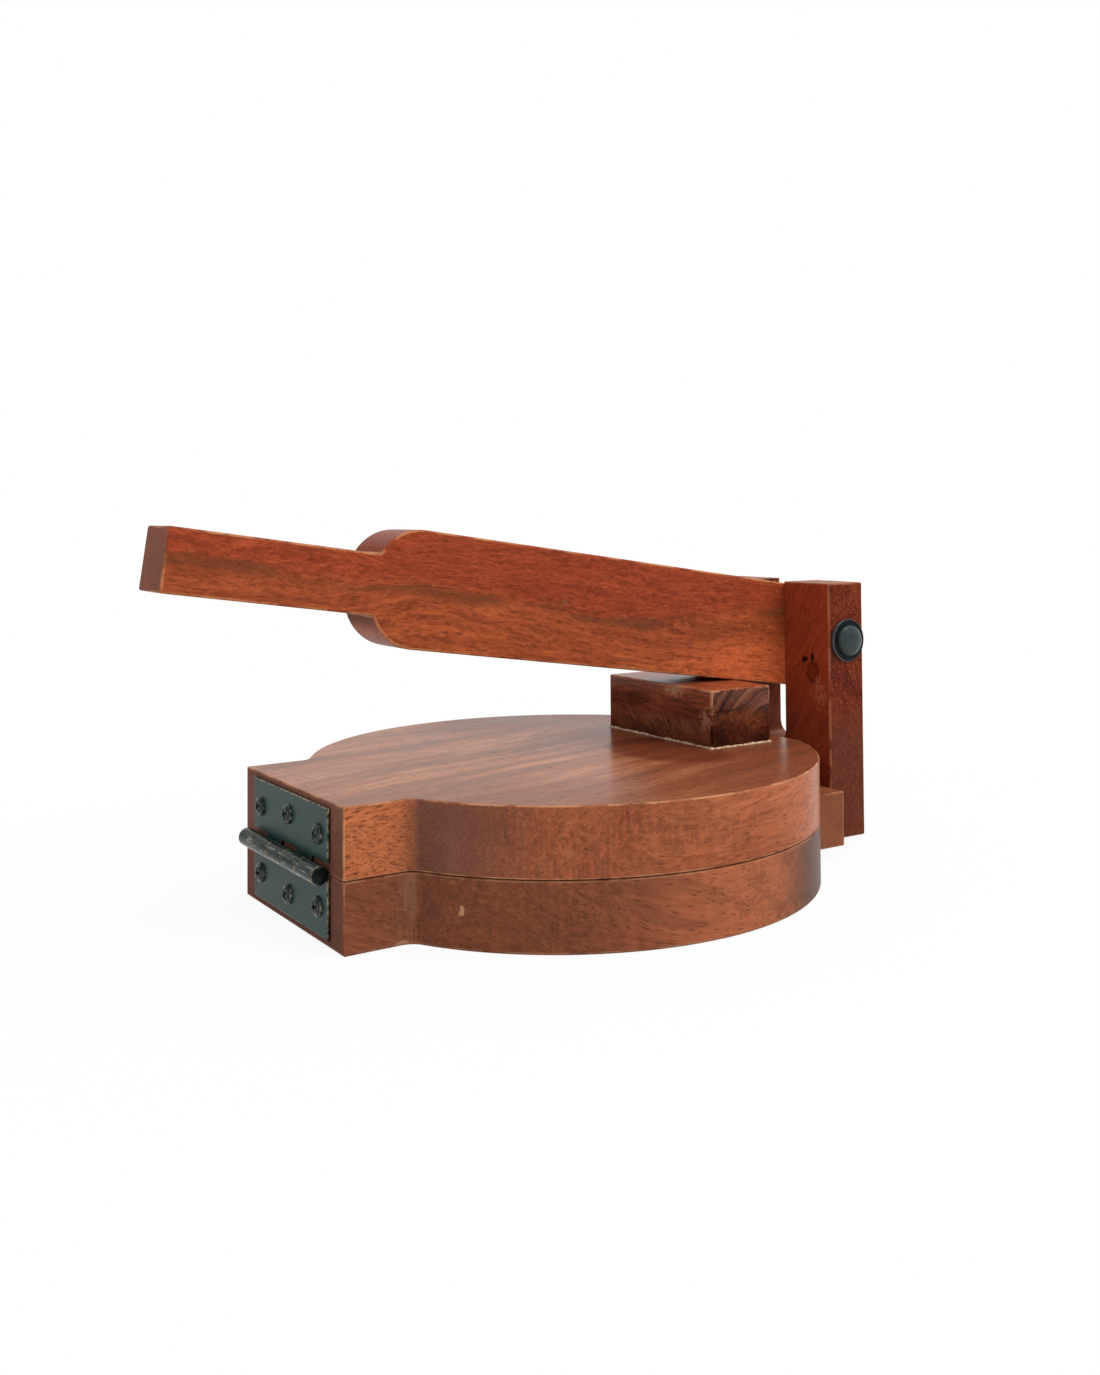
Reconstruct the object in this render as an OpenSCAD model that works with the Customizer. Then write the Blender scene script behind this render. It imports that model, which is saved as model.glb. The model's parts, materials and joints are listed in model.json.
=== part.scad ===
// Wooden tortilla press. Two round boards hinge at a tongue on one side, and a lever
// that pivots in a fork on the other side squeezes them together through a block.
// Millimetres. +X runs from the hinge to the fork, +Y along both pivots, +Z is up.
// The origin is the centre of the round base's underside.

/* [Boards] */
// Radius of the two round boards
board_r = 100; // [90:1:115]
// Thickness of each board
board_t = 24; // [22:0.5:32]
// Width of the tongue that carries the hinge
tongue_w = 88.5; // [80:0.5:110]
// Distance from the centre of the round to the hinge face
hinge_face = 114.5; // [110:0.5:130]
// Fillet where the tongue meets the round
neck_r = 6; // [2:0.5:10]
// Distance from the centre of the round to the flat cut across the back
back_flat = 94; // [86:0.5:96]
// Gap between the closed boards
board_gap = 0.3; // [0.1:0.1:1]

/* [Press block] */
// Size of the block along the press
block_l = 31.3; // [26:0.1:36]
// Size of the block across the press
block_w = 71; // [50:1:90]
// Height of the block on the lid
block_h = 23.25; // [20:0.05:24.5]
// Radius of the block's eased edges
block_edge_r = 2.5; // [1:0.5:5]
// Distance from the block's back face to the lever's pivot
block_to_pivot = 37.7; // [32:0.1:48]
// How far the block sits off the boards' centre line
block_off = 5; // [0:0.5:8]

/* [Rail and fork] */
// Length of the rail behind the base
rail_w = 89.4; // [84:0.2:110]
// Thickness of the rail between the base and the fork
rail_t = 15.4; // [12:0.2:20]
// Height of the rail
rail_h = 22.6; // [18:0.2:28]
// Height of the rail's underside above the table
rail_lift = 4.5; // [1:0.5:8]
// Width of the fork over both legs
fork_w = 79.6; // [74:0.2:84]
// Thickness of the fork
fork_t = 20.2; // [16:0.2:28]
// Height of the fork's foot above the table
fork_lift = 5; // [1:0.5:8]
// Height of the fork above the pivot
fork_rise = 24.3; // [12:0.1:30]
// How far the fork and the lever sit off the boards' centre line
fork_off = 3; // [0:0.5:6]
// Depth of the slot below the lever's body
slot_run = 24.3; // [6:0.1:28]
// Radius in the corners of the slot's floor
slot_r = 6; // [2:0.5:10]
// Radius of the fork's and rail's eased outer corners
corner_r = 1.5; // [0.5:0.5:4]

/* [Lever] */
// Thickness of the lever
lever_t = 24.3; // [16:0.1:30]
// Height of the lever's body
lever_h = 44; // [41:0.5:50]
// Distance from the pivot to the front of the body
body_l = 208.9; // [170:0.1:240]
// Radius of the body's front corners
shoulder_r = 18.5; // [10:0.5:20]
// Height of the grip
grip_h = 22.6; // [16:0.2:30]
// Distance from the pivot to the end of the grip
lever_l = 284.5; // [260:0.1:320]
// Height of the pivot above the lid
pivot_rise = 40; // [38:0.5:46]
// Gap between each side of the lever and the fork
side_gap = 0.2; // [0.1:0.1:1]
// Gap between the resting lever and the block
rest_gap = 0.3; // [0.1:0.1:1]

/* [Hinge] */
// Length of the hinge
hinge_l = 67.6; // [60:0.1:76]
// How far the hinge sits off the boards' centre line
hinge_off = -0.2; // [-4:0.1:2]
// Height of each leaf, from the pin's axis to its outer edge
leaf_h = 21.6; // [19:0.1:22]
// Thickness of the leaves
leaf_t = 1.2; // [1:0.1:2.4]
// Radius of the knuckles
knuckle_r = 3.3; // [2.8:0.1:4]
// Gap between the knuckles and the wood
knuckle_gap = 0.6; // [0.1:0.1:0.8]
// Gap between neighbouring knuckles
knuckle_slit = 0.25; // [0.1:0.05:0.5]
// Radius of the hinge pin
hinge_pin_r = 1.7; // [1.3:0.1:2.1]
// Height of the pin's domed ends
pin_head_h = 1.5; // [0.6:0.1:2]
// How much smaller the pin's domed ends are than the knuckles, in radius
pin_head_step = 0.2; // [0.1:0.1:0.6]
// Height of the pin's axis above the seam between the boards
pin_rise = 0.55; // [0:0.05:1.2]
// Distance from the end of a leaf to its outer screws
hinge_screw_end = 7.6; // [6:0.1:12]
// Distance from the pin's axis to the outer hinge screws
hinge_screw_row = 12; // [10:0.1:13]
// How much farther from the pin the middle screw sits
screw_stagger = 1.9; // [0:0.1:3]

/* [Fasteners] */
// Radius of the pivot bolt
bolt_r = 3.15; // [2.5:0.05:4]
// Radius of the pivot bolt's domed head
bolt_head_r = 6.6; // [5.5:0.1:8]
// Height of the pivot bolt's domed head
bolt_head_h = 3.8; // [2:0.1:5]
// Outer radius of the washers
washer_r = 9; // [7:0.1:11]
// Thickness of the washers
washer_t = 1.6; // [1:0.1:2.5]
// Width of the nut across its corners
nut_w = 12.8; // [11:0.1:15]
// Thickness of the nut
nut_t = 5.5; // [4:0.1:7]
// Length of the bolt that stands out of the nut
bolt_end = 2; // [1:0.1:4]
// Radius of the hinge screws' shanks
hinge_screw_r = 1.8; // [1.5:0.1:2.2]
// Radius of the hinge screws' pan heads
pan_r = 3.5; // [3:0.1:4.4]
// Height of the hinge screws' pan heads
pan_h = 1.8; // [1.2:0.1:2.4]
// Length of the hinge screws under the head
hinge_screw_l = 17; // [12:0.5:22]
// Radius of the rail's and fork's screws
long_screw_r = 2.2; // [1.8:0.1:2.6]
// Radius of the rail's and fork's countersunk heads
flat_head_r = 4.2; // [3.6:0.1:4.8]
// Length of the screws that hold the rail
rail_screw_l = 44; // [34:1:54]
// Distance between the two rail screws
rail_screw_pitch = 26; // [20:1:34]
// Length of the screws that hold the fork
fork_screw_l = 60; // [48:1:70]
// Height between the two rows of fork screws
fork_screw_rise = 9.5; // [9:0.5:12]
// Width of the arms of the screws' cross recesses
recess_w = 0.9; // [0.6:0.1:1.2]
// Depth of the screws' cross recesses
recess_d = 1; // [0.5:0.1:1.2]
// Radial clearance where a shaft turns in a hole
running = 0.05; // [0.02:0.01:0.1]
// Radial clearance of a hole that a screw or bolt is fixed in
fixing = 0.05; // [0.02:0.01:0.1]

/* [Hidden] */
$fn = 96;
eps = 0.01;
past = 1;
tip_ratio = 2.5;
knuckles = 5;
knuckle_l = hinge_l / knuckles;
hinge_screw_pitch = hinge_l / 2 - hinge_screw_end;
lid_z = board_t + board_gap;
lid_top = lid_z + board_t;
fork_x = back_flat + rail_t;
pivot_x = fork_x + fork_t / 2;
pivot_z = lid_top + pivot_rise;
fork_top = pivot_z + fork_rise;
slot_w = lever_t + 2 * side_gap;
slot_z = pivot_z - lever_h / 2 - slot_run;
leg_w = (fork_w - slot_w) / 2;
pin_x = -(hinge_face + knuckle_gap + knuckle_r);
pin_z = board_t + board_gap / 2 + pin_rise;
lid_flat = back_flat - rest_gap;
block_x = pivot_x - block_to_pivot - block_l;
block_top = lid_top + block_h;
screw_z = board_t / 2;
// The lever rests on the block's eased back edge: the edge's centre, seen from the
// pivot, lies this far below the lever's axis, which gives the lever's tilt.
edge_x = block_to_pivot + block_edge_r;
edge_z = pivot_z - (block_top - block_edge_r);
edge_drop = lever_h / 2 + rest_gap + block_edge_r;
lever_tilt = asin(edge_drop / norm([edge_x, edge_z])) - atan2(edge_z, edge_x);

// ---- shared shapes ----

// Rectangle with round corners, lower left corner at the origin
module round_rect(size, r) {
    translate([r, 0]) square([size[0] - 2 * r, size[1]]);
    translate([0, r]) square([size[0], size[1] - 2 * r]);
    for (x = [r, size[0] - r], y = [r, size[1] - r]) translate([x, y]) circle(r);
}

// Low dome on the XY plane
module dome(r, h) {
    ball_r = (r * r + h * h) / (2 * h);
    rotate_extrude() intersection() {
        translate([0, h - ball_r]) circle(ball_r);
        square([r, h]);
    }
}

// Screw hole or shank with a pointed end, from the origin down
module shank(r, l) {
    tip = tip_ratio * r;
    translate([0, 0, tip - l]) cylinder(r = r, h = l - tip);
    translate([0, 0, -l]) cylinder(r1 = 0, r2 = r, h = tip);
}

// Cross recess, cut downwards from the XY plane
module cross_recess(r) {
    for (turn = [0, 90]) rotate(turn)
        translate([-r / 2, -recess_w / 2, -recess_d]) cube([r, recess_w, recess_d + past]);
}

// Pan-head screw whose head rests on the XY plane
module pan_screw() {
    difference() {
        dome(pan_r, pan_h);
        translate([0, 0, pan_h]) cross_recess(pan_r);
    }
    translate([0, 0, eps]) shank(hinge_screw_r, hinge_screw_l + eps);
}

// Countersunk screw whose head is flush with the XY plane, and its hole
module flat_screw(l, extra = 0) {
    head_h = flat_head_r - long_screw_r;
    translate([0, 0, -head_h])
        cylinder(r1 = long_screw_r + extra, r2 = flat_head_r + extra, h = head_h);
    shank(long_screw_r + extra, l);
}

// Shape turned from pointing up to pointing along X: 1 for +X, -1 for -X
module facing_x(sign) rotate([0, 90 * sign, 0]) children();

// Places of the three screws in a hinge leaf: 1 for the upper leaf, -1 for the lower
function hinge_screw_at(i, side) = [
    -hinge_face,
    hinge_off + (i - 2) * hinge_screw_pitch,
    pin_z + side * (hinge_screw_row + (i == 2 ? screw_stagger : 0))];

// Places of the rail screws and of the fork screws
function rail_screw_at(i) = [fork_x, (i == 1 ? -1 : 1) * rail_screw_pitch / 2, screw_z];
function fork_screw_at(i) = [
    fork_x + fork_t,
    fork_off + (i % 2 == 1 ? -1 : 1) * (slot_w + leg_w) / 2,
    screw_z + (i > 2 ? 1 : -1) * fork_screw_rise / 2 + 1];

// ---- wooden pieces ----

// Outline that both boards share: a round with a tongue and a flat back
module board_outline(flat_x) {
    reach = board_r + neck_r;
    half = tongue_w / 2 + neck_r;
    neck_x = -sqrt(reach * reach - half * half);
    difference() {
        union() {
            circle(board_r, $fn = 180);
            translate([-hinge_face, -tongue_w / 2]) square([hinge_face, tongue_w]);
            polygon([[neck_x, -half], [0, 0], [neck_x, half]]);
        }
        for (side = [-1, 1]) translate([neck_x, side * half]) circle(neck_r);
        translate([flat_x, -board_r]) square([board_r, 2 * board_r]);
    }
}

// Pilot holes of one leaf's screws
module hinge_pilots(side) {
    for (i = [1:3]) translate(hinge_screw_at(i, side))
        facing_x(-1) translate([0, 0, leaf_t + eps])
            shank(hinge_screw_r + fixing, hinge_screw_l + fixing + eps);
}

module base_board() {
    color("saddlebrown") difference() {
        linear_extrude(board_t) board_outline(back_flat);
        hinge_pilots(-1);
        for (i = [1:2]) translate(rail_screw_at(i)) facing_x(1) flat_screw(rail_screw_l, fixing);
        for (i = [1:4]) translate(fork_screw_at(i)) facing_x(1) flat_screw(fork_screw_l, fixing);
    }
}

module lid_board() {
    color("sienna") difference() {
        translate([0, 0, lid_z]) linear_extrude(board_t) board_outline(lid_flat);
        hinge_pilots(1);
    }
}

// Block that the lever bears on, glued to the lid
module press_block() {
    color("maroon") intersection() {
        translate([block_x, block_off - block_w / 2, lid_top]) {
            translate([0, block_w, 0]) rotate([90, 0, 0]) linear_extrude(block_w)
                block_profile(block_l);
        }
        translate([block_x, block_off - block_w / 2, lid_top])
            rotate([90, 0, 90]) linear_extrude(block_l) block_profile(block_w);
    }
}

// Side of the block: square at the foot, eased at the top
module block_profile(length) {
    round_rect([length, block_h], block_edge_r);
    square([length, block_h / 2]);
}

module rail() {
    color("chocolate") difference() {
        translate([back_flat, -rail_w / 2, rail_lift])
            rotate([90, 0, 90]) linear_extrude(rail_t) round_rect([rail_w, rail_h], corner_r);
        for (i = [1:2]) translate(rail_screw_at(i)) facing_x(1) flat_screw(rail_screw_l, fixing);
        for (i = [1:4]) translate(fork_screw_at(i)) facing_x(1) flat_screw(fork_screw_l, fixing);
    }
}

// Slot of the fork, open at the top and rounded in the corners of its floor
module slot_outline() {
    translate([-slot_w / 2, slot_z]) {
        round_rect([slot_w, fork_top - slot_z], slot_r);
        translate([0, slot_r]) square([slot_w, fork_top]);
    }
}

module fork() {
    color("brown") difference() {
        translate([fork_x, fork_off, 0]) rotate([90, 0, 90]) linear_extrude(fork_t) difference() {
            translate([-fork_w / 2, fork_lift])
                round_rect([fork_w, fork_top - fork_lift], corner_r);
            slot_outline();
        }
        translate([pivot_x, fork_off, pivot_z]) rotate([90, 0, 0])
            cylinder(r = bolt_r + fixing, h = fork_w + 2 * past, center = true);
        for (i = [1:4]) translate(fork_screw_at(i)) facing_x(1) flat_screw(fork_screw_l, fixing);
    }
}

// Side of the lever with its pivot at the origin and its grip along -X
module lever_outline() {
    circle(lever_h / 2);
    translate([-body_l, -lever_h / 2]) round_rect([body_l, lever_h], shoulder_r);
    translate([shoulder_r - body_l, -lever_h / 2]) square([body_l - shoulder_r, lever_h]);
    translate([-lever_l, -grip_h / 2]) round_rect([lever_l, grip_h], corner_r);
}

module lever() {
    color("orangered") translate([pivot_x, fork_off, pivot_z]) rotate([0, lever_tilt, 0])
        rotate([90, 0, 0]) difference() {
            linear_extrude(lever_t, center = true) lever_outline();
            cylinder(r = bolt_r + running, h = lever_t + 2 * past, center = true);
        }
}

// ---- hinge ----

// One leaf: 1 for the upper leaf with the even knuckles, -1 for the lower with the odd
module leaf(side) {
    own = side > 0 ? [1, 3] : [0, 2, 4];
    other = side > 0 ? [0, 2, 4] : [1, 3];
    y0 = hinge_off - hinge_l / 2;
    clear_r = knuckle_r + knuckle_slit;
    difference() {
        union() {
            translate([-hinge_face - leaf_t, y0, side > 0 ? pin_z : pin_z - leaf_h])
                cube([leaf_t, hinge_l, leaf_h]);
            translate([pin_x, y0, pin_z]) rotate([-90, 0, 0]) cylinder(r = knuckle_r, h = hinge_l);
        }
        for (k = other) knuckle_gap_box(y0, k, clear_r);
        translate([pin_x, hinge_off, pin_z]) rotate([90, 0, 0])
            cylinder(r = hinge_pin_r + running, h = hinge_l + 2 * past, center = true);
        for (i = [1:3]) translate(hinge_screw_at(i, side)) facing_x(-1)
            cylinder(r = hinge_screw_r + fixing, h = 3 * leaf_t, center = true);
        for (k = own) if (k > 0) knuckle_slit_at(y0 + k * knuckle_l, clear_r);
    }
}

// Room for the other leaf's knuckle k
module knuckle_gap_box(y0, k, r) {
    before = k == 0 ? past : 0;
    after = k == knuckles - 1 ? past : 0;
    translate([pin_x - r, y0 + k * knuckle_l - before, pin_z - r])
        cube([2 * r + knuckle_gap, knuckle_l + before + after, 2 * r]);
}

// Thin cut beside a knuckle, so that neighbours don't rub
module knuckle_slit_at(y, r) {
    translate([pin_x - r, y - knuckle_slit / 2, pin_z - r])
        cube([2 * r + knuckle_gap, knuckle_slit, 2 * r]);
}

module lower_leaf() { color("darkslategray") leaf(-1); }
module upper_leaf() { color("darkslategray") leaf(1); }

// Pin with a low domed end on each side
module hinge_pin() {
    color("dimgray") translate([pin_x, hinge_off, pin_z]) rotate([90, 0, 0]) {
        cylinder(r = hinge_pin_r, h = hinge_l + 2 * eps, center = true);
        for (side = [0, 1]) mirror([0, 0, side]) translate([0, 0, hinge_l / 2])
            dome(knuckle_r - pin_head_step, pin_head_h);
    }
}

module hinge_screw(i, side) {
    color("black") translate(hinge_screw_at(i, side)) facing_x(-1)
        translate([0, 0, leaf_t]) pan_screw();
}

// ---- pivot and its fixings ----

module pivot_bolt() {
    half = fork_w / 2 + washer_t;
    color("dimgray") translate([pivot_x, fork_off, pivot_z]) rotate([90, 0, 0]) {
        translate([0, 0, half]) dome(bolt_head_r, bolt_head_h);
        translate([0, 0, -half - nut_t - bolt_end])
            cylinder(r = bolt_r, h = 2 * half + nut_t + bolt_end + eps);
    }
}

// Flat washer: 1 on the nut's side of the fork, -1 on the head's side
module washer(side) {
    color("black") translate([pivot_x, fork_off + side * (fork_w + washer_t) / 2, pivot_z])
        rotate([90, 0, 0]) difference() {
            cylinder(r = washer_r, h = washer_t, center = true);
            cylinder(r = bolt_r + fixing, h = 2 * washer_t, center = true);
        }
}

module pivot_nut() {
    color("dimgray") translate([pivot_x, fork_off + fork_w / 2 + washer_t, pivot_z])
        rotate([-90, 0, 0]) difference() {
            cylinder(d = nut_w, h = nut_t, $fn = 6);
            cylinder(r = bolt_r + fixing, h = 3 * nut_t, center = true);
        }
}

module long_screw(place, l) {
    color("dimgray") translate(place) facing_x(1) difference() {
        flat_screw(l);
        cross_recess(flat_head_r);
    }
}

base_board();
lid_board();
press_block();
rail();
fork();
lever();
lower_leaf();
upper_leaf();
hinge_pin();
pivot_bolt();
washer(-1);  // head_washer
washer(1);  // nut_washer
pivot_nut();
for (i = [1:3]) {
    hinge_screw(i, -1);
    hinge_screw(i, 1);
}
for (i = [1:2]) long_screw(rail_screw_at(i), rail_screw_l);
for (i = [1:4]) long_screw(fork_screw_at(i), fork_screw_l);
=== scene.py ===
# %% [markdown]
# # A wooden tortilla press
# Two round boards lie on each other, hinged at a tongue on one side. A lever turns in a
# fork on the other side and squeezes them through a block on the lid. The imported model
# gives every size and place in metres: +X runs from the hinge to the fork, +Z is up.

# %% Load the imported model
import json
from random import Random
from math import asin, atan2, cos, degrees, hypot, pi, radians, sin, sqrt

import bmesh
import bpy
from mathutils import Euler, Matrix, Quaternion, Vector


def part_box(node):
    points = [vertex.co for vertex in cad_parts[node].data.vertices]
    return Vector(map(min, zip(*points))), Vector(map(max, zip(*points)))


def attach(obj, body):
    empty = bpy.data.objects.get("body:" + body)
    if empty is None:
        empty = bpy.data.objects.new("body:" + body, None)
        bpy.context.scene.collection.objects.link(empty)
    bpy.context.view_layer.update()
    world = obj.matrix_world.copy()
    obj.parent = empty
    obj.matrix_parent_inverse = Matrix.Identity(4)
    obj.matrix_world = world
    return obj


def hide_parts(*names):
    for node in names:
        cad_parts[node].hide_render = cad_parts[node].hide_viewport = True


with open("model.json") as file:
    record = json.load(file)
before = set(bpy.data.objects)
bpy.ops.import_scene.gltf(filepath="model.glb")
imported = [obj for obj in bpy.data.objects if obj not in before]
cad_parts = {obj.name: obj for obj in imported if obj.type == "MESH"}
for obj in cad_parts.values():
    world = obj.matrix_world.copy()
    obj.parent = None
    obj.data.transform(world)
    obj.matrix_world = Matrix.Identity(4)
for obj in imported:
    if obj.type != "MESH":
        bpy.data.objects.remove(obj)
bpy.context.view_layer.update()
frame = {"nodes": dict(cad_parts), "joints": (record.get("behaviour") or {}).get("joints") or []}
MM = 0.001
print("pieces in the model:", len(frame["nodes"]))

# %% [markdown]
# ## Camera
# The press is seen from a little above the lid, at arm's length and off to the hinge's
# side. A lens shift does most of the framing, so upright edges stay nearly upright.

# %% Camera
FRAME_H = 1375
FOCAL_PX = 1354.1
CENTRE_X, CENTRE_Y = 581.9, 473.0
EYE = Vector((-296.0, -454.3, 143.2)) * MM
YAW, PITCH, ROLL = radians(33.9), radians(1.69), radians(-0.4)

lens = bpy.data.cameras.new("camera")
camera = bpy.data.objects.new("camera", lens)
bpy.context.scene.collection.objects.link(camera)
bpy.context.scene.camera = camera
looking = Vector((0, 1, 0))
looking.rotate(Quaternion((1, 0, 0), PITCH))
looking.rotate(Quaternion((0, 0, 1), -YAW))
turn = looking.to_track_quat("-Z", "Y") @ Quaternion((0, 0, 1), ROLL)
camera.matrix_world = Matrix.Translation(EYE) @ turn.to_matrix().to_4x4()
lens.sensor_width = 36
lens.lens = FOCAL_PX / FRAME_H * lens.sensor_width
lens.shift_x = (1100 / 2 - CENTRE_X) / FRAME_H
lens.shift_y = (CENTRE_Y - FRAME_H / 2) / FRAME_H
lens.clip_start = 0.01
print("lens", round(lens.lens, 2), "mm, shift", round(lens.shift_x, 3), round(lens.shift_y, 3))

# %% [markdown]
# ## Shader maths that reads like maths
# A material is a graph of nodes. Value wraps one output socket, so that a sum or a
# product written in Python adds the Math node that does it. Finish holds one material.

# %% Value and Finish
class Value:
    """One output socket of a material, with arithmetic."""

    def __init__(self, finish, socket):
        self.finish, self.socket = finish, socket

    def math(self, operation, *others):
        inputs = dict(enumerate((self, *others)))
        return self.finish.add("ShaderNodeMath", {"operation": operation}, inputs)

    def __add__(self, other): return self.math("ADD", other)
    def __radd__(self, other): return self.math("ADD", other)
    def __sub__(self, other): return self.math("SUBTRACT", other)
    def __rsub__(self, other): return self.math("MULTIPLY_ADD", -1.0, other)
    def __mul__(self, other): return self.math("MULTIPLY", other)
    def __rmul__(self, other): return self.math("MULTIPLY", other)
    def __pow__(self, other): return self.math("POWER", other)

    def between(self, low, high):
        """0 below low, 1 above high, and a smooth step from one to the other."""
        step = {"interpolation_type": "SMOOTHSTEP"}
        return self.finish.add("ShaderNodeMapRange", step, {"Value": self, "From Min": low, "From Max": high})


class Finish:
    """A material built node by node."""

    def __init__(self, name):
        self.material = bpy.data.materials.new(name)
        self.material.use_nodes = True
        self.tree = self.material.node_tree
        self.shader = self.tree.nodes["Principled BSDF"]
        self.place = self.add("ShaderNodeTexCoord", out="Object")

    def add(self, kind, settings=None, inputs=None, out=0):
        node = self.tree.nodes.new(kind)
        for key, value in (settings or {}).items():
            setattr(node, key, value)
        for key, value in (inputs or {}).items():
            self.join(node.inputs[key], value)
        return Value(self, node.outputs[out])

    def join(self, socket, value):
        if isinstance(value, Value):
            self.tree.links.new(value.socket, socket)
        elif socket.type == "RGBA":
            socket.default_value = (*value, 1)
        else:
            socket.default_value = value

    def set(self, **sockets):
        """Sets or links the shader's own sockets, written with _ for a space."""
        for key, value in sockets.items():
            self.join(self.shader.inputs[key.replace("_", " ")], value)
        return self

    def stretched(self, lengths, vector=None):
        """Coordinates in which a feature of the given lengths, in metres, is one unit."""
        scale = tuple(1 / length for length in lengths)
        return self.add("ShaderNodeMapping", {}, {"Vector": vector or self.place, "Scale": scale})

    def vector(self, operation, a, b, out=0):
        return self.add("ShaderNodeVectorMath", {"operation": operation}, {0: a, 1: b}, out=out)

    def scaled(self, colour, factor):
        return self.add("ShaderNodeVectorMath", {"operation": "SCALE"}, {0: colour, "Scale": factor})

    def noise(self, vector, detail=3.0, roughness=0.5, distortion=0.0):
        return self.add("ShaderNodeTexNoise", {}, {"Vector": vector, "Scale": 1.0, "Detail": detail,
                                                   "Roughness": roughness, "Distortion": distortion})

    def parts(self, vector):
        node = self.add("ShaderNodeSeparateXYZ", {}, {0: vector}).socket.node
        return [Value(self, output) for output in node.outputs]

    def mix(self, factor, a, b):
        return self.add("ShaderNodeMix", {"data_type": "RGBA"}, {0: factor, 6: a, 7: b}, out=2)

    def bump(self, height, strength, distance):
        return self.add("ShaderNodeBump", {}, {"Strength": strength, "Distance": distance, "Height": height})


print("a value plus a value adds one Math node")

# %% [markdown]
# ## Lacquered hardwood
# Real wood is a solid texture: the same fibres show as long streaks on a side and as
# dots on an end. So every pattern here is worked out in space and stretched along the
# grain, and the cut ends only get the browner colour that end grain has.

# %% Wood
class Wood(Finish):
    """Hardwood whose grain runs along the X axis of its own turned coordinates."""

    def __init__(self, name, dark, middle, light, grain=(0, 0, 0), origin=(0, 0, 0), band=0.012,
                 contrast=1.0, fuzz=1.0, streak=1.0, cloud=0.5, fibre=(0.0060, 0.0008, 0.0008), curl=0.3,
                 calm=0.0, ends=None, end_share=0.85, one_end=False):
        super().__init__(name)
        self.dark, self.dull = dark, 0.35 if ends else 0.0
        self.grain = self.add("ShaderNodeMapping", {"vector_type": "TEXTURE"},
                              {"Vector": self.place, "Rotation": grain, "Location": origin})
        drift = self.add("ShaderNodeTexNoise", {}, {"Vector": self.stretched((0.09, 0.03, 0.03), self.grain),
                                                    "Scale": 1.0, "Detail": 2.0}, out="Color")
        centred = self.vector("SUBTRACT", drift, (0.5, 0.5, 0.5))
        self.flow = self.vector("ADD", self.grain, self.vector("MULTIPLY", centred, (0.0, 0.02, 0.02)))

        self.bands = self.noise(self.stretched((0.35, band, band), self.flow), detail=3.0, roughness=0.6)
        self.clouds = self.noise(self.stretched((0.05, 0.02, 0.02), self.flow), detail=3.0, roughness=0.6)
        self.streaks = self.noise(self.stretched((0.030, 0.0016, 0.0016), self.flow), detail=3.0,
                                  roughness=0.65)
        self.fuzz = self.noise(self.stretched(fibre, self.flow), detail=2.0, roughness=0.6, distortion=curl)
        tone = ((self.bands - 0.5) * (1.1 * contrast) + (self.clouds - 0.5) * cloud
                + (self.streaks - 0.5) * 0.35 + 0.5)
        self.body = self.mix(tone.between(0.34, 0.50), dark, middle)
        self.body = self.mix(tone.between(0.50, 0.64), self.body, light)
        self.x, self.y, self.z = self.parts(self.place)
        facing = self.add("ShaderNodeTexCoord", out="Normal")
        ahead, aside, up = self.parts(facing)
        self.front, self.near, self.top = [(way * sign).between(0.6, 0.9) for way, sign in
                                           ((ahead, -1.0), (aside, -1.0), (up, 1.0))]
        self.side = 1.0 - up.math("ABSOLUTE").between(0.5, 0.8)
        self.under = (up * -1.0).between(0.1, 0.5)
        relief = (self.streaks - 0.5) * (1.5 * streak) + (self.fuzz - 0.5) * (1.3 * fuzz)
        self.relief = relief * (1.0 - self.top * calm) + 1.0
        self.body = self.scaled(self.body, self.relief)
        torn = self.add("ShaderNodeTexNoise", {},
                        {"Vector": self.stretched((0.004, 0.004, 0.004)), "Scale": 1.0},
                        out="Color")
        torn = self.scaled(self.vector("SUBTRACT", torn, (0.5, 0.5, 0.5)), 0.004)
        self.ragged = self.vector("ADD", self.place, torn)
        along = Vector((1, 0, 0))
        along.rotate(Euler(grain))
        across = self.vector("DOT_PRODUCT", facing, tuple(-along), out="Value")
        self.end = (across if one_end else across.math("ABSOLUTE")).between(0.70, 0.96)
        if ends:
            rays = self.scaled(ends, (self.fuzz - 0.5) * 0.8 + (self.clouds - 0.5) * 0.8 + 1.0)
            self.body = self.mix(self.end * end_share, self.body, rays)
        self.edge = self.add("ShaderNodeAttribute", {"attribute_name": "edge"}, out="Fac")
        self.pore = None

    def paint(self, factor, colour):
        self.body = self.mix(factor, self.body, colour)
        return self

    def zone(self, factor, colour):
        """Another colour with the same fibres, used for wood of another colour and for painted light and
        shade.
        """
        return self.paint(factor, self.scaled(colour, self.relief))

    def spot(self, centre, radii, share, colour, rim=0.0):
        """One mark with a ragged outline."""
        away = self.vector("DIVIDE", self.vector("SUBTRACT", self.ragged, centre), radii)
        far = self.vector("LENGTH", away, (0, 0, 0), out="Value")
        inside = (1.0 - far.between(0.75, 1.1)) * (far.between(0.4, 0.9) * rim + (1 - rim))
        return self.paint(inside * share, colour)

    def rubbed(self, centre, radii, share, colour):
        """A patch of small scuffs that thin out from its middle."""
        far = self.vector("LENGTH", self.vector("DIVIDE", self.vector("SUBTRACT", self.place, centre), radii),
                          (0, 0, 0), out="Value")
        grit = self.noise(self.stretched((0.0016, 0.0016, 0.0016)), detail=5.0, roughness=0.7)
        amount = (1.0 - far.between(0.0, 1.3)) * 0.28 + grit
        return self.paint(amount.between(0.67, 0.76) * share, colour)

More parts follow.
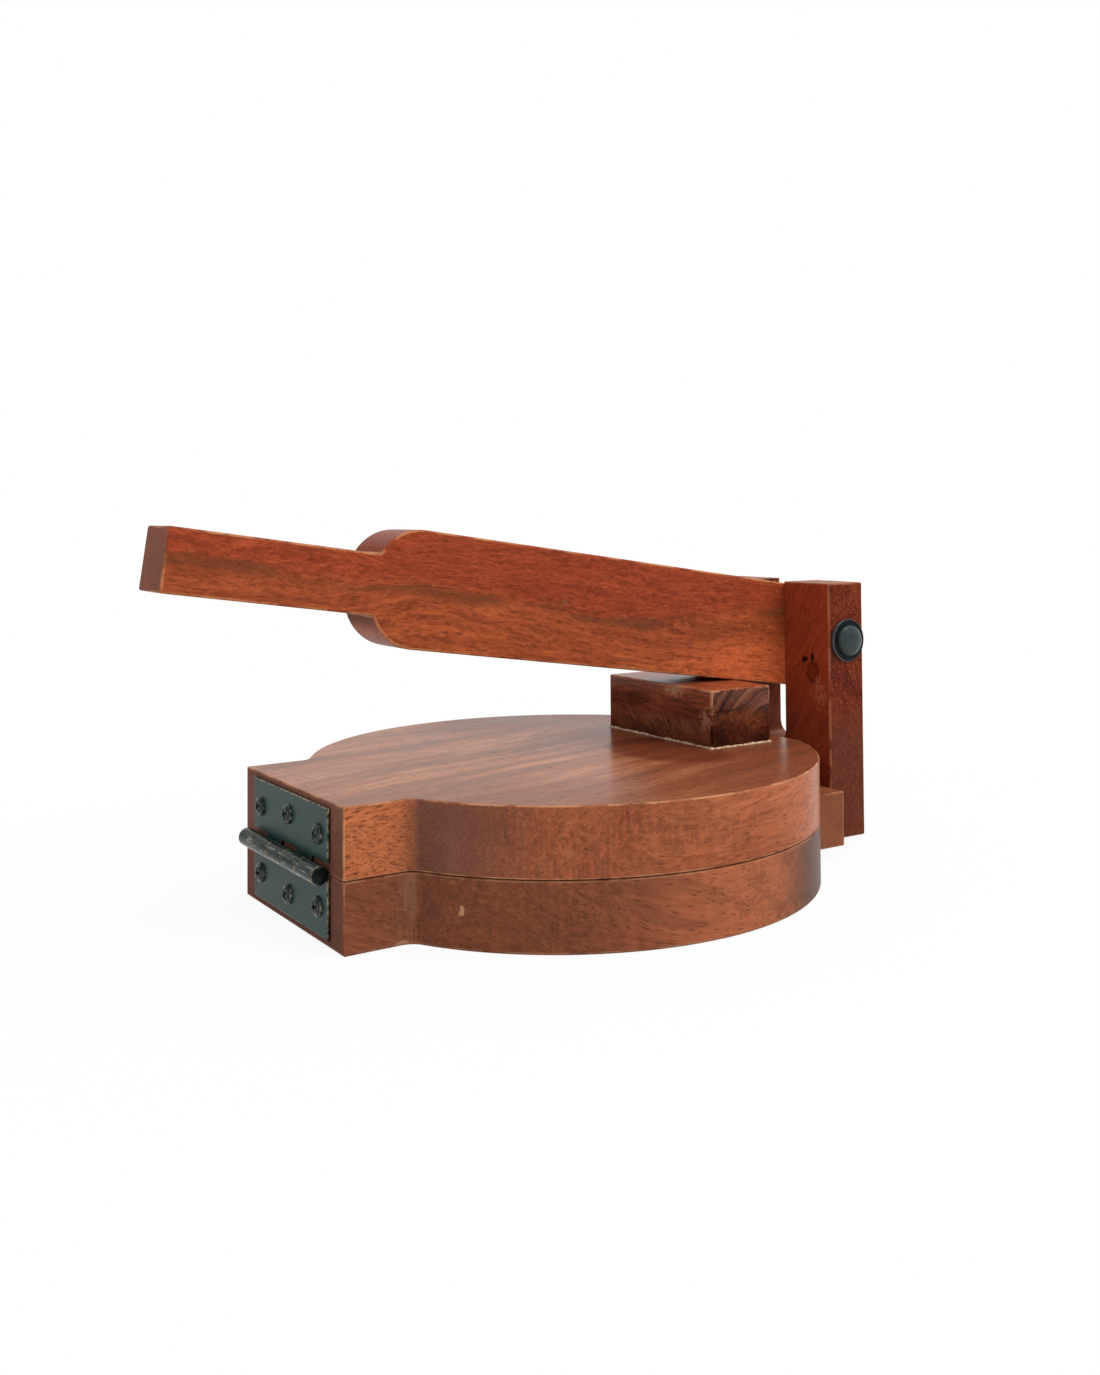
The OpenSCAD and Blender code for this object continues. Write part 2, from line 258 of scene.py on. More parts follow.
    def pores(self, share=0.8, length=0.0055, width=0.0009, few=(0.35, 0.6), colour=None):
        """Short dark dashes where the wood's vessels are cut open."""
        cells = self.stretched((length, width, width), self.flow)
        near = self.add("ShaderNodeTexVoronoi", {}, {"Vector": cells, "Scale": 1.0}, out="Distance")
        tint = self.add("ShaderNodeTexVoronoi", {}, {"Vector": cells, "Scale": 1.0}, out="Color")
        pick = self.add("ShaderNodeSeparateColor", {}, {0: tint}, out=0)
        self.pore = (1.0 - near.between(0.18, 0.42)) * pick.between(*few)
        colour = colour or tuple(c * 0.35 for c in self.dark)
        return self.paint(self.pore * (1.0 - self.end * 0.6) * share, colour)

    def flecks(self, share, colour, size=(0.0022, 0.0006, 0.0006), amount=(0.64, 0.74)):
        """Small pale strokes along the grain: painted glints of the lacquer on raised fibres."""
        strokes = self.noise(self.stretched(size, self.flow), detail=1.0).between(*amount)
        return self.paint(strokes * share, colour)

    def wear(self, share, colour, amount=(0.40, 0.58)):
        """Lacquer rubbed thin along the eased edges."""
        chafe = self.noise(self.stretched((0.012, 0.012, 0.012)), detail=5.0, roughness=0.65)
        return self.paint(self.edge * chafe.between(*amount) * share, colour)

    def done(self, rough=0.36, ior=1.22, bump=0.3):
        cloud = self.noise(self.stretched((0.03, 0.03, 0.03)), detail=3.0)
        height = self.streaks * 0.5 + self.fuzz * 0.5
        if self.pore:
            height = height - self.pore * 0.8
        self.set(Base_Color=self.body, Roughness=cloud * 0.14 + (rough - 0.07) + self.end * self.dull,
                 IOR=ior, Normal=self.bump(height, bump, 0.00015))
        return self.material


print("a wood has three tones, bands, streaks, fibres and pores")

# %% [markdown]
# ## How the lever rests
# The lever lies on the round edge of the block, a hair above it. Its tilt follows from
# where the pivot is, how deep the lever is and how round that edge is.

# %% Lever tilt and axes
# The lever rests on the round edge of the block: all in mm, from the pivot to that edge's centre.
LEVER_HALF, REST_GAP, ROUND_EDGE = 22.0, 0.3, 2.5
BACK, DROP = 37.7 + ROUND_EDGE, 88.3 - 69.05
LEVER_TILT = asin((LEVER_HALF + REST_GAP + ROUND_EDGE) / hypot(BACK, DROP)) - atan2(DROP, BACK)
PIVOT = Vector(next(j["pos_m"] for j in frame["joints"] if j["name"] == "lever_pivot"))
PIN = Vector(next(j["pos_m"] for j in frame["joints"] if j["name"] == "lid_hinge"))
print("lever tilt", round(degrees(LEVER_TILT), 2), "degrees")

# %% [markdown]
# ## The planks
# Each finish is one plank: the way its grain runs, its three tones, the marks that it
# has picked up and some painted light and shade. A zone keeps the fibres and changes their colour, a spot is
# one mark with a ragged outline.

# %% Lid and base wood
def lid_finish():
    w = Wood("lid_wood", dark=(0.180, 0.052, 0.024), middle=(0.235, 0.070, 0.031),
             light=(0.290, 0.092, 0.040), grain=(0, 0, radians(12)), origin=(0.3, 0.1, 0.2),
             band=0.014, contrast=0.6, cloud=0.2, streak=0.6,
             fuzz=0.6, calm=0.4, ends=(0.130, 0.056, 0.040), end_share=0.8, one_end=True)
    # Painted sheen and top light: the top away from the block is painted lighter.
    w.zone(w.top * (1.0 - w.x.between(-0.05, 0.05)) * 0.75, (0.370, 0.140, 0.058))
    w.zone(w.near * (1.0 - w.x.between(-0.094, -0.086)) * 0.8, (0.370, 0.112, 0.042))
    w.zone(w.side * w.x.between(-0.02, 0.05) * 0.65, (0.380, 0.113, 0.048))
    w.zone(w.top * w.x.between(-0.02, 0.05) * 0.75, (0.185, 0.050, 0.022))
    line = w.noise(w.stretched((0.16, 0.0110, 0.0110), w.flow), detail=4.0, roughness=0.62)
    w.zone(line.between(0.50, 0.62) * w.top * (1.0 - w.x.between(-0.02, 0.06)) * 0.6, (0.470, 0.205, 0.100))
    w.paint((1.0 - line.between(0.36, 0.52)) * w.top * 0.55, (0.110, 0.040, 0.022))
    w.zone(w.top * (1.0 - (w.y + w.x * 0.35).between(-0.085, -0.035)) * 0.75, (0.190, 0.060, 0.028))
    rib = w.noise(w.stretched((0.0012, 0.0012, 0.009)), detail=2.0, roughness=0.6)
    middle = w.side * w.x.between(-0.085, -0.06) * (1.0 - w.x.between(0.0, 0.05))
    w.zone(middle * rib.between(0.45, 0.62) * 0.35, (0.310, 0.074, 0.028))
    w.paint(middle * (1.0 - line.between(0.40, 0.54)) * (1.0 - rib.between(0.42, 0.56)) * 0.35,
            (0.115, 0.038, 0.022))
    corner = w.side * w.x.between(-0.098, -0.090) * (1.0 - w.x.between(-0.088, -0.080))
    w.paint(corner * (1.0 - w.front) * 0.35, (0.110, 0.048, 0.030))
    w.paint(w.near * (1.0 - w.x.between(-0.094, -0.086)) * (1.0 - w.fuzz.between(0.34, 0.46)) * 0.75,
            (0.110, 0.030, 0.014))
    # Painted reflection and shade of the block: a dark patch on the top beside it.
    w.spot((0.035, -0.020, 0.0483), (0.022, 0.034, 0.01), 0.75, (0.120, 0.024, 0.010))
    w.pores(0.5, width=0.0008, few=(0.40, 0.62))
    w.flecks(0.15, (0.45, 0.22, 0.12), size=(0.004, 0.0005, 0.0005))
    stains = ((-2, 42, 6), (13, 37, 7), (-25, 17, 5), (-13, 8, 6), (-7, 70, 8), (-48, 40, 6), (-30, 55, 5))
    for x, y, size in stains:
        w.spot((x * MM, y * MM, 0.0483), (size * MM, size * 0.8 * MM, 0.01), 0.6, (0.140, 0.066, 0.044),
               rim=0.6)
    w.wear(0.75, (0.46, 0.22, 0.11))
    return w.done(rough=0.22, ior=1.115)


def base_finish():
    w = Wood("base_wood", dark=(0.120, 0.038, 0.019), middle=(0.160, 0.050, 0.024),
             light=(0.205, 0.064, 0.030), grain=(0, radians(14), radians(-8)), origin=(0.7, 0.3, 0.55),
             band=0.016, contrast=0.4, cloud=0.1, streak=0.5,
             fuzz=0.45, ends=(0.130, 0.056, 0.040), end_share=0.8, one_end=True)
    w.zone(w.side * w.x.between(-0.05, 0.00) * 0.8, (0.330, 0.100, 0.044))
    w.zone(w.side * w.x.between(0.020, 0.052), (0.096, 0.036, 0.022))
    line = w.noise(w.stretched((0.4, 0.0060, 0.0060), w.flow), detail=2.0, roughness=0.7)
    w.paint((1.0 - line.between(0.37, 0.48)) * 0.28, (0.075, 0.028, 0.017))
    rib = w.noise(w.stretched((0.0022, 0.0022, 0.020)), detail=2.0, roughness=0.6)
    w.zone(w.side * rib.between(0.48, 0.64) * w.x.between(-0.085, -0.07)
           * (1.0 - w.x.between(0.0, 0.05)) * 0.25,
           (0.250, 0.070, 0.030))
    corner = w.side * w.x.between(-0.100, -0.092) * (1.0 - w.x.between(-0.090, -0.084)) * (1.0 - w.front)
    w.paint(corner * rib.between(0.42, 0.62) * 0.35, (0.230, 0.125, 0.085))
    w.pores(0.5, width=0.0008, few=(0.4, 0.62)).flecks(0.15, (0.38, 0.19, 0.10), size=(0.004, 0.0005, 0.0005))
    w.spot((-0.0798, -0.0603, 0.0135), (0.0011, 0.0011, 0.0018), 0.85, (0.420, 0.220, 0.110))
    w.spot((-0.094, -0.044, 0.001), (0.003, 0.004, 0.0014), 0.6, (0.380, 0.210, 0.120))
    w.wear(0.5, (0.34, 0.16, 0.09))
    return w.done(rough=0.34, ior=1.13)


lid_wood, base_wood = lid_finish(), base_finish()
print("made", lid_wood.name, "and", base_wood.name)

# %% Lever wood
def lever_finish():
    w = Wood("lever_wood", dark=(0.202, 0.042, 0.0140), middle=(0.256, 0.055, 0.0175),
             light=(0.315, 0.075, 0.0220), grain=(0, LEVER_TILT, 0), origin=tuple(PIVOT),
             band=0.012, contrast=0.7, streak=0.7, fuzz=1.1, cloud=0.25,
             fibre=(0.0034, 0.0009, 0.0009), curl=0.7, ends=(0.200, 0.076, 0.050))
    along, _, up = w.parts(w.grain)
    bend = along.between(-0.17, -0.09) * 0.004 - along.between(-0.10, 0.0) * 0.014
    above = up + bend + (w.clouds - 0.5) * 0.012 + (w.streaks - 0.5) * 0.008
    # Painted shade: the grip end is painted darker to even out the lamps' stronger light on it.
    w.zone((1.0 - along.between(-0.215, -0.195)) * (1.0 - w.end) * 0.6, (0.218, 0.045, 0.016))
    w.zone(above.between(-0.003, 0.005) * (1.0 - w.end) * 0.85, (0.215, 0.035, 0.0135))
    broken = w.noise(w.stretched((0.07, 0.006, 0.006), w.flow), detail=3.0).between(0.38, 0.54)
    w.paint((1.0 - above.math("ABSOLUTE").between(0.0003, 0.0040)) * broken * (1.0 - w.end) * 0.7,
            (0.095, 0.030, 0.012))
    w.zone((1.0 - above.between(-0.018, -0.006)) * along.between(-0.09, -0.01) * (1.0 - w.end) * 0.85,
           (0.480, 0.101, 0.032))
    # Painted shade and light: end grain facing down is painted darker, end grain facing up lighter.
    w.paint(w.under * w.end * 0.75, (0.060, 0.026, 0.017))
    w.paint((1.0 - w.under) * w.top * w.end * 0.8, (0.350, 0.150, 0.092))
    w.pores(0.55, few=(0.45, 0.7), colour=(0.090, 0.020, 0.009))
    w.flecks(0.16, (0.48, 0.22, 0.09), size=(0.0032, 0.0005, 0.0005))
    w.spot((-0.0062, -0.009, 0.108), (0.0011, 0.002, 0.0016), 0.8, (0.130, 0.055, 0.032))
    w.wear(0.7, (0.44, 0.19, 0.08))
    return w.done(rough=0.38, ior=1.16)


lever_wood = lever_finish()
print("made", lever_wood.name)

# %% Block, fork and rail wood
def block_finish():
    w = Wood("block_wood", dark=(0.110, 0.030, 0.015), middle=(0.210, 0.056, 0.023),
             light=(0.320, 0.090, 0.036),
             grain=(0, 0, radians(90)), origin=(0.2, 0.4, 0.1), band=0.009, contrast=1.0, cloud=1.0)
    # Painted sheen: the top is painted lighter.
    w.zone(w.top * 0.8, (0.290, 0.064, 0.024))
    w.zone(w.front * 0.3, (0.300, 0.072, 0.034))
    far = ((w.x - 0.083) ** 2.0 + (w.z - 0.045) ** 2.0) ** 0.5
    ring = w.add("ShaderNodeCombineXYZ", {}, {0: (far + (w.clouds - 0.5) * 0.005) * 420.0, 1: 0.43, 2: 0.61})
    rings = w.noise(ring, detail=2.0, roughness=0.6)
    near_end = w.near * w.end
    w.zone(w.end, (0.120, 0.036, 0.020))
    w.paint(near_end * rings.between(0.50, 0.62) * 0.6, (0.260, 0.095, 0.052))
    w.paint(near_end * (1.0 - rings.between(0.38, 0.50)) * 0.9, (0.022, 0.009, 0.007))
    w.spot((0.0595, -0.0305, 0.0630), (0.0070, 0.01, 0.0007), 0.7, (0.02, 0.009, 0.007))
    saw = w.add("ShaderNodeMapping", {}, {"Vector": w.place, "Rotation": (radians(38), 0, 0)})
    cut = w.noise(w.stretched((1.0, 0.0010, 0.010), saw), detail=1.0)
    w.paint(w.front * (1.0 - w.z.between(0.054, 0.060)) * cut.between(0.44, 0.52) * 0.9,
            (0.460, 0.220, 0.120))
    w.spot((0.0505, 0.018, 0.064), (0.01, 0.010, 0.0030), 0.5, (0.045, 0.016, 0.009))
    w.pores(0.6).flecks(0.2, (0.34, 0.17, 0.09), size=(0.003, 0.0006, 0.0006))
    w.rubbed((0.0505, -0.0265, 0.0590), (0.01, 0.0065, 0.0110), 0.8, (0.420, 0.220, 0.120))
    w.rubbed((0.0505, -0.0060, 0.0690), (0.01, 0.0110, 0.0035), 0.8, (0.400, 0.210, 0.120))
    w.wear(0.85, (0.40, 0.19, 0.10), (0.42, 0.60))
    return w.done(rough=0.28)


def fork_finish():
    w = Wood("fork_wood", dark=(0.070, 0.012, 0.006), middle=(0.100, 0.015, 0.006),
             light=(0.135, 0.024, 0.009),
             grain=(0, radians(58), radians(90)), origin=(0.5, 0.9, 0.3), band=0.010, contrast=0.8,
             streak=0.7, fuzz=0.5, ends=(0.120, 0.030, 0.016), end_share=0.5)
    w.zone(w.front * 0.9, (0.270, 0.040, 0.014))
    w.zone(w.front * (1.0 - w.z.between(0.045, 0.075)) * 0.6, (0.150, 0.030, 0.012))
    # Painted highlight: the top is painted pale, as if lit from above.
    w.zone(w.top * 0.9, (0.300, 0.130, 0.080))
    w.zone(w.near * (1.0 - w.z.between(0.045, 0.065)) * 0.7, (0.100, 0.028, 0.014))
    w.spot((0.1094, -0.0270, 0.0745), (0.01, 0.0040, 0.0050), 0.85, (0.070, 0.010, 0.005), rim=0.4)
    for y, z in ((-21.8, 79.5), (-26.6, 81.0)):
        w.spot((0.1094, y * MM, z * MM), (0.01, 0.0012, 0.0020), 0.95, (0.012, 0.004, 0.003))
    w.pores(0.35, few=(0.4, 0.7))
    hair = w.noise(w.stretched((0.030, 0.0007, 0.0007), w.flow), detail=1.0).between(0.60, 0.70)
    w.paint(hair * w.near * w.z.between(0.045, 0.070) * 0.65, (0.260, 0.080, 0.040))
    w.rubbed((0.1094, -0.0310, 0.0660), (0.01, 0.0060, 0.0120), 0.45, (0.380, 0.140, 0.070))
    w.wear(0.4, (0.36, 0.14, 0.07))
    return w.done(rough=0.30, ior=1.12)


def rail_finish():
    w = Wood("rail_wood", dark=(0.140, 0.040, 0.018), middle=(0.190, 0.056, 0.024),
             light=(0.245, 0.078, 0.034),
             grain=(0, 0, radians(90)), origin=(0.6, 0.2, 0.8), ends=(0.190, 0.062, 0.030))
    w.pores(0.6).wear(0.6, (0.36, 0.16, 0.08))
    return w.done()


block_wood, fork_wood, rail_wood = block_finish(), fork_finish(), rail_finish()
print("wood finishes:", sum("wood" in m.name for m in bpy.data.materials))

# %% [markdown]
# ## Metal
# The hinge is painted a dark green-grey that has worn through to brass on its edges.
# The pin and the washers are black, the bolt's head is dark grey, and the screws at the
# back are zinc.

# %% Metal
def painted(name, paint, bare, chip=0.5, rough=0.42, ior=1.4, wear=(0.46, 0.62),
            barrel=False):
    """Paint worn through to bare metal along marked edges and in small chips, with painted reflections along
    a hinge barrel and painted shade in screw recesses.
    """
    f = Finish(name)
    edge = f.add("ShaderNodeAttribute", {"attribute_name": "edge"}, out="Fac")
    grit = f.noise(f.stretched((0.0016, 0.0016, 0.0016)), detail=5.0, roughness=0.7)
    cloud = f.noise(f.stretched((0.012, 0.012, 0.012)), detail=4.0)
    patch = f.noise(f.stretched((0.006, 0.006, 0.006)), detail=2.0).between(0.48, 0.62)
    x, y, z = f.parts(f.place)
    off = ((x - PIN.x) ** 2.0 + (z - PIN.z) ** 2.0) ** 0.5
    barrel = 1.0 - off.between(0.00335, 0.0035) if barrel else off * 0.0
    worn = edge * grit.between(*wear) + grit.between(0.66, 0.72) * patch * chip
    worn = (worn + barrel * grit.between(0.58, 0.66) * patch * 0.8).between(0.0, 1.0)
    colour = f.mix(cloud.between(0.35, 0.65), tuple(c * 0.8 for c in paint), paint)
    # Painted reflections on the hinge's barrel: dark lines and pale bands along it, as its glossy paint would
    # mirror the room.
    turn = (z - PIN.z).math("ARCTAN2", x - PIN.x)
    around = f.add("ShaderNodeCombineXYZ", {}, {0: turn * 3.5, 1: y * 70.0, 2: 0.37})
    reflection_bands = f.noise(around, detail=2.0, roughness=0.6)
    shine = f.mix(reflection_bands.between(0.40, 0.56), (0.002, 0.003, 0.003), (0.024, 0.038, 0.032))
    shine = f.mix(reflection_bands.between(0.60, 0.66), shine, (0.230, 0.240, 0.190))
    colour = f.mix(barrel * 0.9, colour, shine)
    colour = f.mix(worn * 0.85, colour, bare)
    # Painted shade: faces marked -1, at the bottom of a screw's cross recess, are painted near black.
    colour = f.mix(edge.math("MULTIPLY", -1.0).between(0.2, 0.8), colour, (0.001, 0.002, 0.002))
    f.set(Base_Color=colour, Metallic=worn * 0.6, IOR=ior,
          Roughness=cloud * 0.2 + (rough - 0.1) - barrel * 0.14,
          Normal=f.bump(grit, 0.15, 0.0001))
    return f.material


def glue_finish():
    f = Finish("dried_glue")
    grit = f.noise(f.stretched((0.0014, 0.0014, 0.0014)), detail=3.0)
    colour = f.mix(grit.between(0.4, 0.62), (0.300, 0.160, 0.090), (0.560, 0.420, 0.300))
    f.set(Base_Color=colour, Roughness=0.6, IOR=1.4)
    return f.material


hinge_paint = painted("hinge_paint", paint=(0.015, 0.046, 0.041), bare=(0.330, 0.240, 0.140), chip=0.3,
                      rough=0.32, ior=1.18, wear=(0.42, 0.56), barrel=True)
bolt_black = painted("bolt_black", paint=(0.004, 0.006, 0.006), bare=(0.110, 0.125, 0.125), chip=0.0,
                     rough=0.34, ior=1.22, wear=(0.30, 0.40))
bolt_grey = painted("bolt_grey", paint=(0.026, 0.040, 0.039), bare=(0.15, 0.16, 0.15), chip=0.0,
                    rough=0.30, ior=1.3)
screw_black = painted("screw_black", paint=(0.016, 0.023, 0.021), bare=(0.320, 0.300, 0.240), chip=0.2,
                      rough=0.26, ior=1.3)
screw_zinc = painted("screw_zinc", paint=(0.42, 0.42, 0.42), bare=(0.55, 0.53, 0.50), chip=0.5,
                     rough=0.35)
print("metal finishes ready")

# %% [markdown]
# ## Drawing an outline
# Most of the press is flat wood cut to an outline. An Outline is drawn like a pen line:
# straight to a point, or round a centre with the spin operator, then filled and given
# its thickness with an extrusion. The sharp edges are then eased with a small bevel,
# and the faces of that bevel are marked, because that is where lacquer wears off first.

# %% Outline
class Outline:
    """A closed flat line in XY, drawn from its first point on."""

    def __init__(self, x, y):
        self.mesh = bmesh.new()
        self.first = self.pen = self.mesh.verts.new((x, y, 0))

    def line(self, x, y):
        grown = bmesh.ops.extrude_vert_indiv(self.mesh, verts=[self.pen])
        self.pen = grown["verts"][0]
        self.pen.co = (x, y, 0)
        return self

    def arc(self, centre, turn, step=3.0):
        steps = max(2, round(abs(degrees(turn)) / step))
        spun = bmesh.ops.spin(self.mesh, geom=[self.pen], cent=(*centre, 0), axis=(0, 0, 1),
                              angle=turn, steps=steps, use_merge=False)
        self.pen = [v for v in spun["geom_last"] if isinstance(v, bmesh.types.BMVert)][0]
        return self

    def solid(self, thickness):
        self.mesh.edges.new((self.pen, self.first))
        face = bmesh.ops.contextual_create(self.mesh, geom=self.mesh.edges[:])["faces"]
        grown = bmesh.ops.extrude_face_region(self.mesh, geom=face)["geom"]
        top = [v for v in grown if isinstance(v, bmesh.types.BMVert)]
        bmesh.ops.translate(self.mesh, verts=top, vec=(0, 0, thickness))
        bmesh.ops.recalc_face_normals(self.mesh, faces=self.mesh.faces[:])
        return self.mesh


def ease(mesh, width, segments=3, sharp=radians(32), pick=None):
    """Rounds the sharp edges and marks the new faces with the attribute edge."""
    mark = mesh.faces.layers.float.get("edge") or mesh.faces.layers.float.new("edge")
    edges = [e for e in mesh.edges if e.is_manifold and e.calc_face_angle(0) > sharp
             and (pick is None or pick(e))]
    made = bmesh.ops.bevel(mesh, geom=edges, affect="EDGES", offset=width, offset_type="OFFSET",
                           segments=segments, profile=0.5, material=-1, clamp_overlap=True)
    for face in made["faces"]:
        face[mark] = 1.0
    return mesh


def piece(name, mesh, body, slot, finish, *nodes):
    """Makes the mesh an object that rides on a body and stands for CAD nodes."""
    for face in mesh.faces:
        face.smooth = True
    data = bpy.data.meshes.new(name)
    mesh.to_mesh(data)
    mesh.free()
    data.materials.append(finish)
    made = bpy.data.objects.new(name, data)
    bpy.context.scene.collection.objects.link(made)
    made.modifiers.new("even_shading", "WEIGHTED_NORMAL").keep_sharp = True
    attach(made, body)
    if nodes:
        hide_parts(*nodes)
    print(name, len(data.polygons), "faces")
    return made


def turned(mesh, matrix):
    """Turns and moves a mesh to its place on the press."""
    bmesh.ops.transform(mesh, matrix=matrix, space=Matrix.Identity(4), verts=mesh.verts[:])
    return mesh


YZ_TO_WORLD = Matrix(((0, 0, 1, 0), (1, 0, 0, 0), (0, 1, 0, 0), (0, 0, 0, 1)))
XZ_TO_WORLD = Matrix(((1, 0, 0, 0), (0, 0, -1, 0), (0, 1, 0, 0), (0, 0, 0, 1)))
print("an outline becomes a solid in three steps: draw, extrude, ease")

# %% [markdown]
# ## The two boards
# Both boards share one outline: a round with a tongue for the hinge and a flat cut
# across the back. A small hollow arc joins the tongue to the round.

# %% Boards
BOARD_R = 100 * MM
NECK_R = 6 * MM
TONGUE_HALF = 44.25 * MM
EASE = 0.55 * MM


def board(name, node, finish, slot, body, foot=EASE):
    low, high = (Vector(corner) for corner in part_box(node))
    hinge_x, flat_x = low.x, high.x
    reach, half = BOARD_R + NECK_R, TONGUE_HALF + NECK_R
    neck_x = -sqrt(reach ** 2 - half ** 2)
    neck_turn = radians(90) - atan2(half, -neck_x)
    flat_half = sqrt(BOARD_R ** 2 - flat_x ** 2)
    round_turn = atan2(half, neck_x) - atan2(flat_half, flat_x)
    line = Outline(hinge_x, -TONGUE_HALF)
    line.line(neck_x, -TONGUE_HALF).arc((neck_x, -half), -neck_turn, 6)
    line.arc((0, 0), round_turn, 1.5)
    line.line(flat_x, flat_half).arc((0, 0), round_turn, 1.5)
    line.arc((neck_x, half), -neck_turn, 6).line(hinge_x, TONGUE_HALF)
    on_foot = lambda e: max(v.co.z for v in e.verts) < 0.01 * MM
    mesh = ease(line.solid(high.z - low.z), foot, pick=on_foot)
    rises = lambda e: abs(e.verts[0].co.z - e.verts[1].co.z) > MM
    ease(mesh, EASE, pick=lambda e: min(v.co.z for v in e.verts) > 2 * MM or rises(e))
    turned(mesh, Matrix.Translation((0, 0, low.z)))
    return piece(name, mesh, body, slot, finish, node)


board("base_round", "base_board", base_wood, "base_wood", "base", foot=1.1 * MM)
board("lid_round", "lid_board", lid_wood, "lid_wood", "lid")

# %% [markdown]
# ## Block, rail and fork
# These are sawn bars with eased edges. The block keeps a sharp foot, because it is glued
# down, and the fork has a slot with two round corners for the lever.

# %% Block, rail and fork
def bar(node, width, keep_foot=False):
    """A box of a node's size with eased edges."""
    low, high = (Vector(corner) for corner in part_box(node))
    mesh = bmesh.new()
    bmesh.ops.create_cube(mesh, size=1)
    size = high - low
    bmesh.ops.scale(mesh, vec=size, verts=mesh.verts[:])
    bmesh.ops.translate(mesh, vec=(low + high) / 2, verts=mesh.verts[:])
    above = (lambda e: max(v.co.z for v in e.verts) > low.z + MM) if keep_foot else None
    return ease(mesh, width, segments=4, pick=above)


piece("lever_block", bar("press_block", 0.9 * MM, keep_foot=True), "lid", "block_wood", block_wood,
      "press_block")
piece("back_rail", bar("rail", 0.8 * MM), "base", "rail_wood", rail_wood, "rail")

SLOT_HALF = 12.35 * MM
SLOT_R = 6 * MM
SLOT_Z = 42.0 * MM
HEADS_OUT = 0.3 * MM


def fork_piece():
    low, high = (Vector(corner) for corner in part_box("fork"))
    mid = (low.y + high.y) / 2
    left, right = mid - SLOT_HALF, mid + SLOT_HALF
    line = Outline(low.y, low.z)
    line.line(high.y, low.z).line(high.y, high.z).line(right, high.z)
    line.line(right, SLOT_Z + SLOT_R).arc((right - SLOT_R, SLOT_Z + SLOT_R), radians(-90), 10)
    line.line(left + SLOT_R, SLOT_Z).arc((left + SLOT_R, SLOT_Z + SLOT_R), radians(-90), 10)
    line.line(left, high.z).line(low.y, high.z)
    mesh = line.solid(high.x - low.x - HEADS_OUT)
    inner = lambda e: all(abs(v.co.x - mid) < SLOT_HALF + MM and v.co.y > SLOT_Z - MM for v in e.verts)
    ease(mesh, 0.4 * MM, pick=inner)
    ease(mesh, 0.8 * MM, sharp=radians(60), pick=lambda e: not inner(e))
    turned(mesh, Matrix.Translation((low.x, 0, 0)) @ YZ_TO_WORLD)
    return piece("fork_upright", mesh, "base", "fork_wood", fork_wood, "fork")


fork_piece()

# %% [markdown]
# ## The lever
# A deep body with a half-round end at the pivot and two rounded corners at the front,
# and a narrower grip that grows out between them.

# %% Lever
BODY_HALF = 22 * MM
BODY_L = 208.9 * MM
SHOULDER_R = 18.5 * MM
GRIP_HALF = 11.2 * MM
LEVER_L = 284.4 * MM


def lever_piece():
    low, high = (Vector(corner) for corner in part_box("lever"))
    round_x, round_z = SHOULDER_R - BODY_L, BODY_HALF - SHOULDER_R
    meet = asin((GRIP_HALF - round_z) / SHOULDER_R)
    grip_x = round_x - SHOULDER_R * cos(meet)
    line = Outline(0, -BODY_HALF).arc((0, 0), radians(180), 5)
    line.line(round_x, BODY_HALF).arc((round_x, round_z), radians(90) - meet, 5)
    line.line(-LEVER_L, GRIP_HALF).line(-LEVER_L, -GRIP_HALF).line(grip_x, -GRIP_HALF)
    line.arc((round_x, -round_z), radians(90) - meet, 5)
    mesh = ease(line.solid(high.y - low.y), 0.8 * MM)
    place = Matrix.Translation((PIVOT.x, high.y, PIVOT.z))
    turned(mesh, place @ Matrix.Rotation(LEVER_TILT, 4, "Y") @ XZ_TO_WORLD)
    return piece("press_lever", mesh, "lever", "lever_wood", lever_wood, "lever")


lever_piece()

# %% [markdown]
# ## Glue line
# The block was glued on, and a little dried glue was left along its foot. An edge is
# extruded step by step round the foot, each time with a slightly different size.

# %% Glue line
def glue_line():
    low, high = (Vector(corner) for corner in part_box("press_block"))
    random = Random(7)
    corners = [Vector(pair) for pair in ((low.x, low.y), (high.x, low.y), (high.x, high.y), (low.x, high.y))]
    outward = [Vector((0, -1)), Vector((1, 0)), Vector((0, 1)), Vector((-1, 0))]
    path = []
    for side in range(4):
        start, end = corners[side], corners[(side + 1) % 4]
        steps = round((end - start).length / (0.9 * MM))
        for step in range(1, steps):
            path.append((start.lerp(end, step / steps), outward[side]))
        path.append((end, (outward[side] + outward[(side + 1) % 4]).normalized()))
    mesh = bmesh.new()
    wide, tall, rings = 0.7 * MM, 0.7 * MM, []
    for place, out in path:
        wide += (random.uniform(0.15, 1.15) * MM - wide) * 0.4
        tall += (random.uniform(0.15, 1.1) * MM - tall) * 0.4
        points = [place + out * 0.02 * MM, place + out * wide * 0.35, place + out * wide]
        heights = [tall, tall * 0.35, 0.02 * MM]
        rings.append([Vector((p.x, p.y, low.z + h)) for p, h in zip(points, heights)])
    row = [mesh.verts.new(point) for point in rings[0]]
    edges = [mesh.edges.new(pair) for pair in zip(row, row[1:])]
    for ring in rings[1:] + rings[:1]:
        grown = bmesh.ops.extrude_edge_only(mesh, edges=edges)["geom"]
        edges = [g for g in grown if isinstance(g, bmesh.types.BMEdge) and all(v in grown for v in g.verts)]
        for vert, point in zip(chain_of(edges), ring):
            vert.co = point
    bmesh.ops.remove_doubles(mesh, verts=mesh.verts[:], dist=0.00001)
    bmesh.ops.recalc_face_normals(mesh, faces=mesh.faces[:])
    return piece("glue_line", mesh, "lid", "block_wood", glue)


